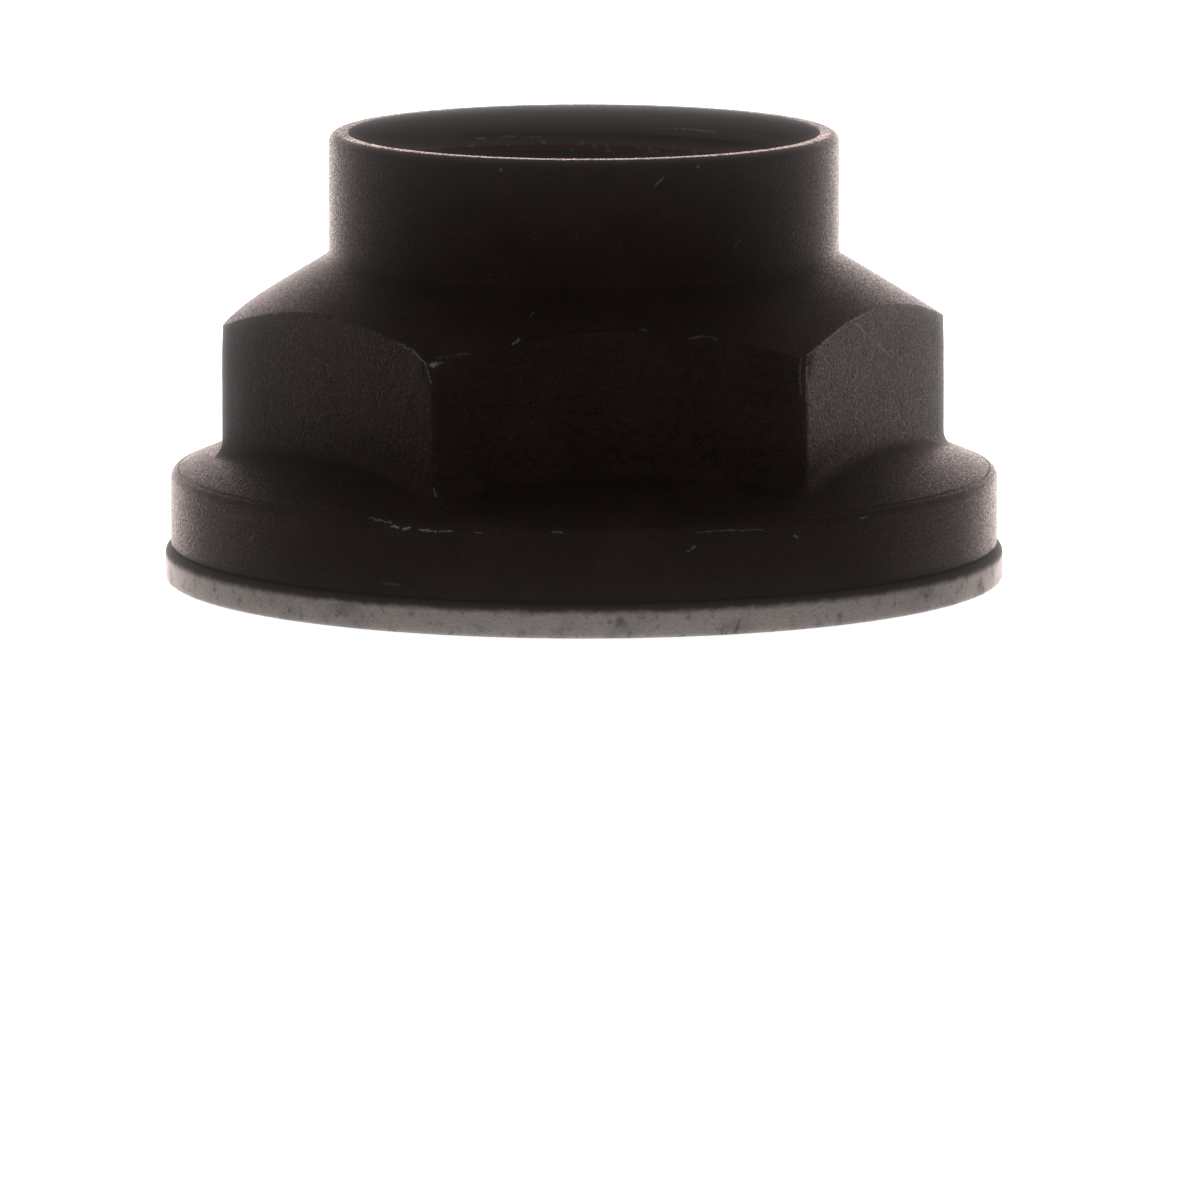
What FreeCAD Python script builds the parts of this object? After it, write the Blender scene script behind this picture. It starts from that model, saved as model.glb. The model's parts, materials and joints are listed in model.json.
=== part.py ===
import FreeCAD, Part
import math
import os
import Sketcher

# Flanged spindle nut with a captive washer that turns freely.
# The nut stands on its washer with the staking collar up.
# Origin: centre of the washer's lower face. +Z runs up the thread axis. Millimetres and degrees.

DOC = FreeCAD.newDocument("SpindleNut")

# Driving sizes
SIZES = [
    ("thread_dia", 26.0, "nominal thread diameter"),
    ("thread_pitch", 1.5, "thread pitch, which sets the bore that the thread is cut in"),
    ("thread_lead_in", 0.9, "lead in at the lower end of the thread"),
    ("thread_start", 0.6, "height of the cone from the collar's inside down to the thread"),
    ("collar_clearance", 0.4, "radial step of the collar's inside beyond the thread"),
    ("collar_depth", 1.2, "unthreaded depth below the collar's rim"),
    ("collar_wall", 1.1, "wall of the thin collar that is staked into the spindle's slot"),
    ("collar_height", 7.0, "collar above the shoulder"),
    ("collar_rim_round", 0.55, "round outside the collar's rim"),
    ("collar_root_round", 0.8, "fillet between collar and shoulder"),
    ("shoulder_angle", 31.5, "slope of the turned shoulder above the hexagon"),
    ("across_flats", 36.0, "hexagon across flats"),
    ("corner_round", 0.6, "round on the hexagon's upright corners"),
    ("body_height", 16.52, "from the nut's seat to the foot of the collar"),
    ("flange_overhang", 2.755, "how far the flange stands out beyond the hexagon's corners"),
    ("flange_rim", 4.19, "height of the upright rim"),
    ("flange_slope", 22.7, "slope of the flange's top"),
    ("flange_round", 0.7, "round between rim and slope"),
    ("flange_root_round", 1.1, "fillet between flange and hexagon"),
    ("flange_edge_break", 0.2, "broken lower edge of the rim"),
    ("spigot_wall", 2.0, "wall of the spigot outside the thread"),
    ("washer_overhang", 0.33, "how far the washer stands out beyond the flange"),
    ("washer_thick", 1.93, "washer thickness"),
    ("washer_top_round", 0.5, "rolled upper edge of the washer"),
    ("washer_foot_break", 0.2, "broken lower edge of the washer"),
    ("washer_clearance", 0.08, "radial running clearance of the washer on the spigot"),
    ("lip_flare", 0.6, "how far the spigot's end is rolled outward"),
    ("lip_edge", 0.2, "upright edge of the rolled lip"),
    ("lip_recess", 0.25, "lip above the washer's lower face"),
    ("lip_clearance", 0.2, "radial clearance of the lip in the washer's countersink"),
]

sheet = DOC.addObject("Spreadsheet::Sheet", "Sizes")
for row, (alias, number, meaning) in enumerate(SIZES, start=1):
    sheet.set(f"A{row}", alias)
    sheet.set(f"B{row}", str(number))
    sheet.set(f"C{row}", meaning)
    sheet.setAlias(f"B{row}", alias)
DOC.recompute()

# Radii and heights that several features share
BORE_R = "(Sizes.thread_dia / 2 - 0.541266 * Sizes.thread_pitch)"
COLLAR_BORE_R = "(Sizes.thread_dia / 2 + Sizes.collar_clearance)"
COLLAR_R = f"({COLLAR_BORE_R} + Sizes.collar_wall)"
HEXAGON_R = "(Sizes.across_flats / 2 / cos(30 deg))"
FLANGE_R = f"({HEXAGON_R} + Sizes.flange_overhang)"
WASHER_R = f"({FLANGE_R} + Sizes.washer_overhang)"
SPIGOT_R = "(Sizes.thread_dia / 2 + Sizes.spigot_wall)"
WASHER_BORE_R = f"({SPIGOT_R} + Sizes.washer_clearance)"
SEAT_Z = "Sizes.washer_thick"
RIM_TOP_Z = "(Sizes.washer_thick + Sizes.flange_rim)"
SHOULDER_Z = "(Sizes.washer_thick + Sizes.body_height)"
COLLAR_TOP_Z = f"({SHOULDER_Z} + Sizes.collar_height)"
LIP_TOP_Z = "(Sizes.lip_recess + Sizes.lip_edge + Sizes.lip_flare)"


def at(rule):
    """The present value of a rule, in millimetres."""
    result = DOC.getObject("Sizes").evalExpression(rule)
    return result.Value if hasattr(result, "Value") else float(result)


def origin_plane(body, role):
    return next(item for item in body.Origin.OriginFeatures if item.Role == role)


def add_sketch(body, name, role, height=None):
    """A sketch on one of the body's own origin planes, raised by a rule where one is given."""
    sketch = body.newObject("Sketcher::SketchObject", name)
    sketch.AttachmentSupport = [(origin_plane(body, role), "")]
    sketch.MapMode = "FlatFace"
    if height:
        sketch.setExpression("AttachmentOffset.Base.z", height)
    return sketch


def bind(sketch, name, kind, elements, rule):
    """Add a constraint under a name, at its rule's value, and tie it to the rule."""
    index = sketch.addConstraint(Sketcher.Constraint(kind, *elements, at(rule)))
    sketch.renameConstraint(index, name)
    sketch.setExpression(f"Constraints.{name}", rule)


def circle_sketch(body, name, height, radius):
    """A circle round the axis at a height."""
    sketch = add_sketch(body, name, "XY_Plane", height)
    up = FreeCAD.Vector(0, 0, 1)
    sketch.addGeometry(Part.Circle(FreeCAD.Vector(0, 0, 0), up, at(radius)), False)
    sketch.addConstraint(Sketcher.Constraint("Coincident", 0, 3, -1, 1))
    bind(sketch, "radius", "Radius", (0,), radius)
    return sketch


def turned_profile(body, name, corners, rounded=None, round_rule=None):
    """A closed outline beside the axis, whose corners are set by their radius and height.

    Each corner is its name and the rules for its radius and height.
    A corner without a radius rule lies on the axis. One outer corner may be rounded."""
    sketch = add_sketch(body, name, "XZ_Plane")
    points = [FreeCAD.Vector(at(radius) if radius else 0, at(height), 0)
              for _, radius, height in corners]
    count = len(points)
    starts = list(points)
    ends = [points[(i + 1) % count] for i in range(count)]
    turned = [corner[0] for corner in corners].index(rounded) if rounded else None
    if rounded:
        corner = points[turned]
        before = (points[turned - 1] - corner).normalize()
        after = (points[(turned + 1) % count] - corner).normalize()
        half = before.getAngle(after) / 2
        inward = (before + after).normalize()
        ends[turned - 1] = corner + before * (at(round_rule) / math.tan(half))
        starts[turned] = corner + after * (at(round_rule) / math.tan(half))
        on_arc = corner + inward * (at(round_rule) / math.sin(half) - at(round_rule))
    for i in range(count):
        sketch.addGeometry(Part.LineSegment(starts[i], ends[i]), False)
    for i in range(count):
        following = (i + 1) % count
        if following != turned:
            sketch.addConstraint(Sketcher.Constraint("Coincident", i, 2, following, 1))
    marks = [(i, 1) for i in range(count)]
    if rounded:
        arc = sketch.addGeometry(Part.Arc(ends[turned - 1], on_arc, starts[turned]), False)
        sketch.addConstraint(Sketcher.Constraint("Tangent", turned - 1, 2, arc, 1))
        sketch.addConstraint(Sketcher.Constraint("Tangent", arc, 2, turned, 1))
        bind(sketch, "round", "Radius", (arc,), round_rule)
        tip = sketch.addGeometry(Part.Point(corner), True)
        sketch.addConstraint(Sketcher.Constraint("PointOnObject", tip, 1, turned - 1))
        sketch.addConstraint(Sketcher.Constraint("PointOnObject", tip, 1, turned))
        marks[turned] = (tip, 1)
    for mark, (corner_name, radius, height) in zip(marks, corners):
        if radius:
            bind(sketch, f"{corner_name}_radius", "DistanceX", (-1, 1, *mark), radius)
        else:
            sketch.addConstraint(Sketcher.Constraint("PointOnObject", *mark, -2))
        bind(sketch, f"{corner_name}_height", "DistanceY", (-1, 1, *mark), height)
    return sketch


def turn(body, kind, name, sketch):
    """Turn a profile all round the axis: Revolution adds and Groove cuts."""
    feature = body.newObject(f"PartDesign::{kind}", name)
    feature.Profile = sketch
    feature.ReferenceAxis = (sketch, ["V_Axis"])
    feature.Angle = 360
    DOC.recompute()
    return feature


def pad(body, name, sketch, length):
    feature = body.newObject("PartDesign::Pad", name)
    feature.Profile = sketch
    feature.setExpression("Length", length)
    DOC.recompute()
    return feature


def pocket(body, name, sketch, length):
    """Cut downward from the sketch's height."""
    feature = body.newObject("PartDesign::Pocket", name)
    feature.Profile = sketch
    feature.setExpression("Length", length)
    DOC.recompute()
    return feature


def dress(body, kind, name, edges, size, rule):
    """A Fillet (size Radius) or a Chamfer (size Size) on edges of the body as it stands."""
    if not edges:
        raise RuntimeError(f"{name}: no edge found")
    base = body.Tip
    feature = body.newObject(f"PartDesign::{kind}", name)
    feature.Base = (base, edges)
    feature.setExpression(size, rule)
    DOC.recompute()


def rings(body, radius, height):
    """Names of the circular edges round the axis at this radius and height."""
    found = []
    for number, edge in enumerate(body.Tip.Shape.Edges, start=1):
        if not isinstance(edge.Curve, Part.Circle):
            continue
        centre = edge.Curve.Center
        aside = abs(centre.x) + abs(centre.y) + abs(centre.z - at(height))
        if aside < 1e-5 and abs(edge.Curve.Radius - at(radius)) < 1e-5:
            found.append(f"Edge{number}")
    return found


def uprights(body):
    """Names of the straight upright edges."""
    found = []
    for number, edge in enumerate(body.Tip.Shape.Edges, start=1):
        if isinstance(edge.Curve, Part.Line) and abs(edge.Curve.Direction.z) > 0.999:
            found.append(f"Edge{number}")
    return found


# Nut body: hexagon forged on a flange
nut = DOC.addObject("PartDesign::Body", "NutBody")
nut.Label = "nut_body"

hexagon = add_sketch(nut, "Hexagon", "XY_Plane", SEAT_Z)
origin, up = FreeCAD.Vector(0, 0, 0), FreeCAD.Vector(0, 0, 1)
corners = [FreeCAD.Rotation(up, 60 * i).multVec(FreeCAD.Vector(at(HEXAGON_R), 0, 0))
           for i in range(6)]
for i in range(6):
    hexagon.addGeometry(Part.LineSegment(corners[i], corners[(i + 1) % 6]), False)
for i in range(6):
    hexagon.addConstraint(Sketcher.Constraint("Coincident", i, 2, (i + 1) % 6, 1))
reach = hexagon.addGeometry(Part.Circle(origin, up, at(HEXAGON_R)), True)
hexagon.addConstraint(Sketcher.Constraint("Coincident", reach, 3, -1, 1))
for i in range(6):
    hexagon.addConstraint(Sketcher.Constraint("PointOnObject", i, 1, reach))
for i in range(5):
    hexagon.addConstraint(Sketcher.Constraint("Equal", i, i + 1))
hexagon.addConstraint(Sketcher.Constraint("PointOnObject", 0, 1, -1))
bind(hexagon, "corner_reach", "Radius", (reach,), HEXAGON_R)
pad(nut, "HexagonPad", hexagon, "Sizes.body_height")
dress(nut, "Fillet", "CornerRounds", uprights(nut), "Radius", "Sizes.corner_round")

# The shoulder turned above the flats, which leaves an arch on each of them
OUTSIDE_R = f"({HEXAGON_R} + Sizes.across_flats / 8)"
OUTSIDE_Z = f"({SHOULDER_Z} - ({OUTSIDE_R} - {COLLAR_R}) * tan(Sizes.shoulder_angle * 1 deg))"
shoulder = turned_profile(nut, "ShoulderProfile", [
    ("foot", COLLAR_R, SHOULDER_Z),
    ("low", OUTSIDE_R, OUTSIDE_Z),
    ("high", OUTSIDE_R, SHOULDER_Z),
])
turn(nut, "Groove", "Shoulder", shoulder)

# Flange: upright rim and sloped top, run in under the hexagon
UNDER_R = "(Sizes.across_flats * 0.42)"
UNDER_Z = f"({RIM_TOP_Z} + ({FLANGE_R} - {UNDER_R}) * tan(Sizes.flange_slope * 1 deg))"
flange = turned_profile(nut, "FlangeProfile", [
    ("seat", None, SEAT_Z),
    ("edge", FLANGE_R, SEAT_Z),
    ("rim", FLANGE_R, RIM_TOP_Z),
    ("slope", UNDER_R, UNDER_Z),
    ("middle", None, UNDER_Z),
], rounded="rim", round_rule="Sizes.flange_round")
turn(nut, "Revolution", "Flange", flange)


def root_edges(body):
    """Edges along which the hexagon stands on the flange's slope."""
    rise = math.tan(math.radians(at("Sizes.flange_slope")))
    found = []
    for number, edge in enumerate(body.Tip.Shape.Edges, start=1):
        middle = edge.valueAt((edge.FirstParameter + edge.LastParameter) / 2)
        radius = math.hypot(middle.x, middle.y)
        on_slope = at(RIM_TOP_Z) + (at(FLANGE_R) - radius) * rise
        if radius < at(HEXAGON_R) and abs(middle.z - on_slope) < 1e-4:
            found.append(f"Edge{number}")
    return found


dress(nut, "Fillet", "FlangeRootRound", root_edges(nut), "Radius", "Sizes.flange_root_round")

# Staking collar
collar = circle_sketch(nut, "CollarCircle", SHOULDER_Z, COLLAR_R)
pad(nut, "Collar", collar, "Sizes.collar_height")
dress(nut, "Fillet", "CollarRootRound", rings(nut, COLLAR_R, SHOULDER_Z), "Radius",
      "Sizes.collar_root_round")
dress(nut, "Fillet", "CollarRimRound", rings(nut, COLLAR_R, COLLAR_TOP_Z), "Radius",
      "Sizes.collar_rim_round")

# Spigot through the washer, its end rolled outward to hold the washer
LIP_R = f"({SPIGOT_R} + Sizes.lip_flare)"
spigot = turned_profile(nut, "SpigotProfile", [
    ("top", None, f"{SEAT_Z} + Sizes.flange_edge_break"),
    ("shank", SPIGOT_R, f"{SEAT_Z} + Sizes.flange_edge_break"),
    ("neck", SPIGOT_R, LIP_TOP_Z),
    ("lip", LIP_R, "Sizes.lip_recess + Sizes.lip_edge"),
    ("toe", LIP_R, "Sizes.lip_recess"),
    ("end", None, "Sizes.lip_recess"),
])
turn(nut, "Revolution", "Spigot", spigot)

# Bore for the thread, with the wider inside of the collar above and a lead in below
whole = circle_sketch(nut, "BoreCircle", COLLAR_TOP_Z, BORE_R)
pocket(nut, "Bore", whole, COLLAR_TOP_Z)
STEP_Z = f"({COLLAR_TOP_Z} - Sizes.collar_depth)"
inside = turned_profile(nut, "CollarBoreProfile", [
    ("centre", None, COLLAR_TOP_Z),
    ("mouth", COLLAR_BORE_R, COLLAR_TOP_Z),
    ("step", COLLAR_BORE_R, STEP_Z),
    ("start", BORE_R, f"{STEP_Z} - Sizes.thread_start"),
    ("base", None, f"{STEP_Z} - Sizes.thread_start"),
])
turn(nut, "Groove", "CollarBore", inside)
dress(nut, "Chamfer", "LeadIn", rings(nut, BORE_R, "Sizes.lip_recess"), "Size",
      "Sizes.thread_lead_in")
dress(nut, "Chamfer", "FlangeEdgeBreak", rings(nut, FLANGE_R, SEAT_Z), "Size",
      "Sizes.flange_edge_break")

# Washer: plain disc with a countersink below for the rolled lip
washer = DOC.addObject("PartDesign::Body", "Washer")
washer.Label = "washer"

disc = circle_sketch(washer, "WasherCircle", None, WASHER_R)
pad(washer, "WasherDisc", disc, "Sizes.washer_thick")
hole = circle_sketch(washer, "WasherBoreCircle", SEAT_Z, WASHER_BORE_R)
pocket(washer, "WasherBore", hole, "Sizes.washer_thick")
dress(washer, "Chamfer", "Countersink", rings(washer, WASHER_BORE_R, "0 mm"), "Size",
      f"{LIP_TOP_Z} + Sizes.lip_clearance - Sizes.washer_clearance")
dress(washer, "Fillet", "WasherTopRound", rings(washer, WASHER_R, SEAT_Z), "Radius",
      "Sizes.washer_top_round")
dress(washer, "Chamfer", "WasherFootBreak", rings(washer, WASHER_R, "0 mm"), "Size",
      "Sizes.washer_foot_break")

DOC.recompute()

# Each object must have come out whole before anything is written
for item in DOC.Objects:
    if "Invalid" in item.State or "Error" in item.State:
        raise RuntimeError(f"{item.Name} failed: {item.State}")
for body in (nut, washer):
    shape = body.Shape
    if shape.isNull() or not shape.isValid() or len(shape.Solids) != 1:
        raise RuntimeError(f"{body.Label} is not one valid solid")

os.makedirs("parts", exist_ok=True)
for body in (nut, washer):
    body.Shape.exportStep(os.path.join("parts", f"{body.Label}.step"))
    box = body.Shape.BoundBox
    print(f"{body.Label}: volume {body.Shape.Volume:.1f} mm3, {box.XLength:.2f} x "
          f"{box.YLength:.2f} x {box.ZLength:.2f} mm, z {box.ZMin:.2f} to {box.ZMax:.2f}")
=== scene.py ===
"""Spindle nut with a captive washer, dressed on its CAD frame.

The nut is one forged and turned piece with a tapped bore. The washer turns freely under its flange.
Lengths in the properties are metres, as Blender keeps them. Inside the shape functions they are millimetres.
"""

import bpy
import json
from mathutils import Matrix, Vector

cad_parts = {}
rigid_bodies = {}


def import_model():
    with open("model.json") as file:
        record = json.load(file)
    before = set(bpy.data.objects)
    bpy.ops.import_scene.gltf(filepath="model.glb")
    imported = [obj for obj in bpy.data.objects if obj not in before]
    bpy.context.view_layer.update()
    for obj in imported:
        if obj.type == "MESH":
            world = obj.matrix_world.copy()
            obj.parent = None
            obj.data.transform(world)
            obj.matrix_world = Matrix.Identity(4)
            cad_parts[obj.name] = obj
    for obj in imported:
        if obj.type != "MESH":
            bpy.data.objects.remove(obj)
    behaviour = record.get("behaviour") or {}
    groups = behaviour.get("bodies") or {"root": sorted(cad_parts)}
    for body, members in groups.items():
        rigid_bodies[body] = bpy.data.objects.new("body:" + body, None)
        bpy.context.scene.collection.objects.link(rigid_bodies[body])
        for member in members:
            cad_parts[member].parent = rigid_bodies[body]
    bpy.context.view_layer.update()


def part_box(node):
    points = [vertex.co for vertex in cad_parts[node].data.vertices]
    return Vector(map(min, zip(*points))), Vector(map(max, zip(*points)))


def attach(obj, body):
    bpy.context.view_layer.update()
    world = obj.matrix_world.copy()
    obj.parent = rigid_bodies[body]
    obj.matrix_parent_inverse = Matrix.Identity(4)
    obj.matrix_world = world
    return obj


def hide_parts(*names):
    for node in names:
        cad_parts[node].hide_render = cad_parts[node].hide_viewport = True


bl_info = {
    "name": "Spindle Nut with Captive Washer",
    "version": (1, 0, 0),
    "blender": (4, 5, 0),
    "location": "3D View > Sidebar > Spindle Nut",
    "description": "Builds a black spindle nut, its captive washer and a white studio",
    "category": "Add Mesh",
}

import json
import math
from types import SimpleNamespace

import bmesh
import bpy
import numpy as np
from bpy.props import (
    FloatProperty,
    FloatVectorProperty,
    IntProperty,
    PointerProperty,
)
from mathutils import Euler, Vector, noise

MM = 0.001

for leftover in list(bpy.context.scene.objects):  # Blender's own first cube, lamp and camera
    bpy.data.objects.remove(leftover)
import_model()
NUT_LOW, NUT_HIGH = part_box("nut_body")
WASHER_LOW, WASHER_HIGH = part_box("washer")


# Colours and properties


def hex_colour(code):
    """An sRGB hex colour as the linear values that Blender works in."""
    channels = [int(code[i : i + 2], 16) / 255 for i in (0, 2, 4)]
    return [c / 12.92 if c <= 0.04045 else ((c + 0.055) / 1.055) ** 2.4 for c in channels]


def length(name, description, default_mm):
    """A length property, in metres, from its default in millimetres."""
    return FloatProperty(
        name=name, description=description, default=default_mm * MM, min=0.0, unit="LENGTH", precision=5
    )


def angle(name, description, default_degrees):
    """An angle property, in radians, from its default in degrees."""
    return FloatProperty(
        name=name, description=description, default=math.radians(default_degrees), unit="ROTATION"
    )


def number(name, description, default):
    """A plain number property."""
    return FloatProperty(name=name, description=description, default=default)


def colour(name, description, code):
    """A colour property from its default as an sRGB hex colour."""
    return FloatVectorProperty(
        name=name, description=description, default=hex_colour(code), subtype="COLOR", min=0.0, max=1.0
    )


class NutSizes(bpy.types.PropertyGroup):
    across_flats: length("Across flats", "Wrench size of the forged hexagon", 36.0)
    corner_round: length("Corner round", "Round on the hexagon's upright corners", 0.6)
    collar_radius: length("Collar radius", "Outside of the thin staking collar", 14.5)
    collar_inside: length("Collar inside", "Inside radius of the collar above the thread", 13.4)
    collar_foot: length("Collar foot", "Height at which the collar meets the shoulder", 18.45)
    collar_depth: length("Collar depth", "Unthreaded depth below the rim", 1.2)
    collar_round: length("Collar round", "Round outside the collar's rim", 0.55)
    rim_break: length("Rim break", "Broken edge inside the collar's rim", 0.07)
    collar_root: length("Collar root", "Fillet between collar and shoulder", 0.8)
    shoulder_slope: angle("Shoulder slope", "Slope of the turned shoulder above the hexagon", 31.5)
    arch_break: length("Arch break", "Broken edge where the shoulder cuts the hexagon", 0.12)
    overhang: length("Overhang", "How far the washer stands out beyond the flange", 0.33)
    flange_rim: length("Flange rim", "Height of the flange's upright rim", 4.19)
    flange_slope: angle("Flange slope", "Slope of the flange's top", 22.7)
    flange_round: length("Flange round", "Round between the flange's rim and slope", 0.5)
    line_width: length("Fine line width", "Width of the fine line round the flange's top", 0.18)
    line_depth: length("Fine line depth", "Depth of that line", 0.09)
    flange_root: length("Flange root", "Fillet between hexagon and flange", 1.1)
    seat_break: length("Seat break", "Broken lower edge of the flange's rim", 0.18)
    spigot_radius: length("Spigot radius", "Outside of the spigot that carries the washer", 15.0)
    lip_radius: length("Lip radius", "Outside of the spigot's rolled lip", 15.6)
    lip_edge: length("Lip edge", "Height of the lip's upright edge", 0.2)
    lip_break: length("Lip break", "Broken lower edge of the lip", 0.05)
    thread_radius: length("Thread radius", "Root radius of the internal thread", 13.0)
    crest_radius: length("Crest radius", "Radius at the thread's crests", 12.188)
    pitch: length("Pitch", "Axial distance from crest to crest", 1.5)
    crest_flat: length("Crest flat", "Width of the thread's flat crests", 0.3)
    eased_edge: length("Eased edge", "Width of the eased edges of the crests", 0.04)
    lead_in: length("Lead-in", "How far the thread's mouth is wider than its root", 0.09)
    cone_height: length("Cone height", "Cone from the collar's inside down to the thread", 0.6)
    chips: length("Edge chips", "Depth of the small chips along worn edges", 0.08)
    ripple: length("Forging ripple", "How far the forged flats depart from true", 0.03)


class WasherSizes(bpy.types.PropertyGroup):
    radius: length("Radius", "Outside of the washer", WASHER_HIGH.x / MM)
    thickness: length("Thickness", "Washer thickness", (WASHER_HIGH.z - WASHER_LOW.z) / MM)
    bore: length("Bore", "Bore radius that runs on the spigot", 15.08)
    bore_break: length("Bore break", "Broken upper edge of the bore", 0.05)
    countersink: length("Countersink", "Depth of the countersink that takes the rolled lip", 1.17)
    top_round: length("Top round", "Rolled upper edge", 0.5)
    foot_break: length("Foot break", "Broken lower edge", 0.2)
    edge_band: length("Edge band", "Width of the band at the rim that wanders", 1.2)
    edge_wander: length("Edge wander", "How far the stamped rim departs from true", 0.035)
    segments: IntProperty(name="Segments", description="Steps round the washer", default=288, min=48)


class Finishes(bpy.types.PropertyGroup):
    # The bore's painted shade in the roots of the thread uses this colour too.
    phosphate: colour("Phosphate", "Oiled manganese phosphate on steel, nearly black", "1F1614")
    phosphate_thin: colour("Thin phosphate", "The same coating where it is thin or dusty", "41352F")
    phosphate_sheen: colour("Phosphate sheen", "Tint of what the oiled coating reflects", "FFEEE8")
    inner_brown: colour("Inner brown", "Thin brown coating inside the collar", "5C3022")
    bare_steel: colour("Bare steel", "Steel where the coating has worn through", "AAB2B5")
    bore_steel: colour("Bore steel", "Tapped bore, coated thinly", "43312B")
    bore_sheen: colour("Bore sheen", "Tint of what the bore reflects", "FFDACE")
    washer_steel: colour("Washer steel", "Dull grey steel of the washer", "D9DEDC")
    # This colour is also the painted shade that darkens the washer's top edge in the seam under the flange.
    washer_stain: colour("Washer stain", "Oil and rust-brown stain on the washer", "221B17")


class StudioSettings(bpy.types.PropertyGroup):
    view_azimuth: angle("View azimuth", "Camera's direction round the nut", -6.42)
    view_elevation: angle("View elevation", "Camera's height above the nut's middle", 7.522)
    view_distance: length("View distance", "From the camera to the nut's middle", 700.0)
    view_middle: length("View middle", "Height of the nut's middle", 13.0)
    focal_length: number("Focal length", "Lens in millimetres", 368.94)
    extra_tilt: angle("Extra tilt", "How far the view drops below the nut's middle", 1.17)
    extra_turn: angle("Extra turn", "How far the view swings right of the nut's middle", 0.075)
    table_radius: length("Table radius", "Outside of the round white ground", 6000.0)
    table_gap: length("Table gap", "How far the ground lies below the washer", 0.2)
    table_front: number("Table front", "Glow of the white ground in front", 1.03)
    table_back: number("Table back", "Glow of the white ground behind", 2.2)
    light_colour: colour("Light colour", "Colour of the room's light", "FFE9E4")
    backdrop_light: number("Backdrop light", "Brightness behind the nut", 0.93)
    window_light: number("Window light", "Extra light straight behind", 4.6)
    floor_light: number("Floor light", "Brightness below and in front", 0.38)
    wall_light: number("Wall light", "Brightness of the room at the horizon", 0.075)
    ceiling_light: number("Ceiling light", "Brightness overhead", 0.26)


# Turned and forged outline

SIXTH = math.pi / 3  # from one corner of the hexagon to the next


def rounded(before, corner, after, radius, steps):
    """Points of a round laid into one corner of an outline, for every column at once."""
    inward = before - corner
    outward = after - corner
    inward /= np.linalg.norm(inward, axis=1, keepdims=True)
    outward /= np.linalg.norm(outward, axis=1, keepdims=True)
    half = np.arccos(np.clip((inward * outward).sum(1), -1, 1)) / 2
    middle = inward + outward
    middle /= np.linalg.norm(middle, axis=1, keepdims=True)
    centre = corner + middle * (radius / np.sin(half))[:, None]
    start = corner + inward * (radius / np.tan(half))[:, None] - centre
    end = corner + outward * (radius / np.tan(half))[:, None] - centre
    sweep = (math.pi - 2 * half)[:, None]
    return [
        centre + (np.sin((1 - t) * sweep) * start + np.sin(t * sweep) * end) / np.sin(sweep)
        for t in np.linspace(0, 1, steps + 1)
    ]


def outline_rows(corners, columns):
    """Rows of (radius, height) points along an outline that may differ from column to column.

    Each corner is a name, radius, height, round, steps in the round and steps up to the next corner.
    Every row also gets a name and how far it lies along that round or span."""
    points = [
        np.stack([np.broadcast_to(c[1], columns), np.broadcast_to(c[2], columns)], 1).astype(float)
        for c in corners
    ]
    rows, names, shares = [], [], []
    for i, (name, _, _, radius, arc_steps, _) in enumerate(corners):
        if radius and 0 < i < len(corners) - 1:
            arc = rounded(points[i - 1], points[i], points[i + 1], radius, arc_steps)
        else:
            arc = [points[i]]
        if rows:
            start, steps = rows[-1], corners[i - 1][5]
            for k in range(1, steps):
                rows.append(start + (arc[0] - start) * k / steps)
                names.append(corners[i - 1][0])
                shares.append(k / steps)
        for k, point in enumerate(arc):
            rows.append(point)
            names.append(name + "_round" if len(arc) > 1 else name)
            shares.append(k / max(1, len(arc) - 1))
    return np.array(rows), names, shares


def hexagon_columns(sizes, round_steps=6, flat_steps=54):
    """Angles of the columns, close together on the hexagon's rounded corners, and its radius at each."""
    half_flats = sizes.across_flats / MM / 2
    corner_round = sizes.corner_round / MM
    centre = (half_flats - corner_round) / math.cos(SIXTH / 2)
    edge = math.atan2(corner_round / 2, centre + corner_round * math.cos(SIXTH / 2))
    on_corner = np.linspace(-edge, edge, round_steps, endpoint=False)
    beside = np.linspace(edge, SIXTH - edge, flat_steps, endpoint=False)
    turns = np.concatenate([np.append(on_corner, beside) + k * SIXTH for k in range(6)])
    off_corner = (turns + SIXTH / 2) % SIXTH - SIXTH / 2
    flat = half_flats / np.cos(np.abs(off_corner) - SIXTH / 2)
    arc = centre * np.cos(off_corner) + np.sqrt(
        np.maximum(corner_round**2 - (centre * np.sin(off_corner)) ** 2, 0)
    )
    # A hair over the edge, so that the round's own last column counts as round.
    return turns, np.where(np.abs(off_corner) < edge * 1.0001, arc, flat)


def directions(turns):
    """Unit vectors outward at these turns."""
    return np.stack([np.cos(turns), np.sin(turns), np.zeros(len(turns))], 1)


def rough(point, scale, seed=0.0):
    """Smooth random value between about -1 and 1 at a point in millimetres, for a grain of that size."""
    return noise.noise(Vector(point) / scale + Vector((seed, seed * 1.7, seed * 2.3)))


def eased(value, low, high):
    """A smooth step from 0 at low to 1 at high."""
    share = np.clip((value - low) / (high - low), 0, 1)
    return share * share * (3 - 2 * share)


LINE_PLACE = 0.72  # how far in the fine line's outer edge lies, as a share of the flange's round

# One thread ridge, row by row. A row's rise is a share of the crest's width, of the eased edge and of the
# pitch. Its depth is a share of the eased edge and of the full depth.
THREAD_SHAPE = (
    (-0.5, -1.0, 0.0, 1.0, 0.0),
    (-0.5, 0.0, 0.0, 0.0, 0.0),
    (0.5, 0.0, 0.0, 0.0, 0.0),
    (0.5, 1.0, 0.0, 1.0, 0.0),
    (0.0, 0.0, 0.4375, 0.0, 1.0),
    (0.0, 0.0, 0.5625, 0.0, 1.0),
)

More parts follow.
